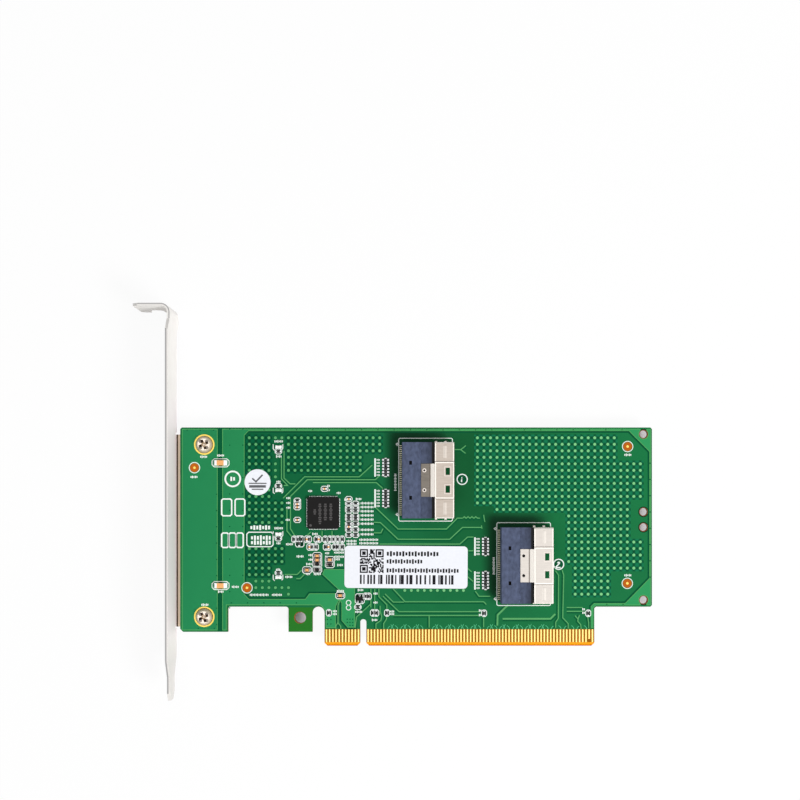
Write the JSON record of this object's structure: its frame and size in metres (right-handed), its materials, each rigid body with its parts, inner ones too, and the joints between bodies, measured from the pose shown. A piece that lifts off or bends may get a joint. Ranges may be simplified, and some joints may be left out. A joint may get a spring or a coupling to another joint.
{
  "type": "bus adapter card with cable ports",
  "caption": "Green low-profile adapter board with a gold edge connector, a tall folded slot bracket and right-angle shielded cable ports on its component face.",
  "frame": {"origin": "middle of the key notch on the contact edge, halfway through the board's thickness", "axes": "+X along the card from the bracket to the far end, +Y from the contact edge to the top edge, +Z out of the component face"},
  "size_m": [0.1601, 0.1214, 0.0224],
  "materials": {
    "board": "green solder mask over glass laminate",
    "gold": "bright gold plating",
    "bracket_steel": "nickel-plated sheet",
    "screw_steel": "nickel-plated",
    "port_plastic": "blue-grey glass-filled moulding",
    "hood_steel": "plated spring sheet",
    "tin": "tinned",
    "chip_plastic": "black moulding",
    "resistor_film": "black film on ceramic",
    "capacitor_ceramic": "tan ceramic",
    "lamp_resin": "clear resin over a white base",
    "label_paper": "white label stock"
  },
  "bodies": {
    "root": {"board": "board", "contacts_component_side_short": "gold", "contacts_component_side_long": "gold", "contacts_solder_side_short": "gold", "contacts_solder_side_long": "gold", "bracket": "bracket_steel", "bracket_screws": "screw_steel", "port_1_housing": "port_plastic", "port_1_hood": "hood_steel", "port_1_leads": "tin", "port_2_housing": "port_plastic", "port_2_hood": "hood_steel", "port_2_leads": "tin", "chip_body": "chip_plastic", "chip_terminals": "tin", "resistor_bodies": "resistor_film", "resistor_ends": "tin", "capacitor_bodies": "capacitor_ceramic", "capacitor_ends": "tin", "supply_capacitor_bodies": "capacitor_ceramic", "supply_capacitor_ends": "tin", "ferrite_bead_bodies": "resistor_film", "ferrite_bead_ends": "tin", "coupling_bodies": "resistor_film", "coupling_ends": "tin", "bridge_capacitor_bodies": "capacitor_ceramic", "bridge_capacitor_ends": "tin", "status_lamp_bodies": "lamp_resin", "status_lamp_ends": "tin", "transistor_body": "chip_plastic", "transistor_leads": "tin", "label": "label_paper", "round_sticker": "label_paper"}
  },
  "joints": []
}
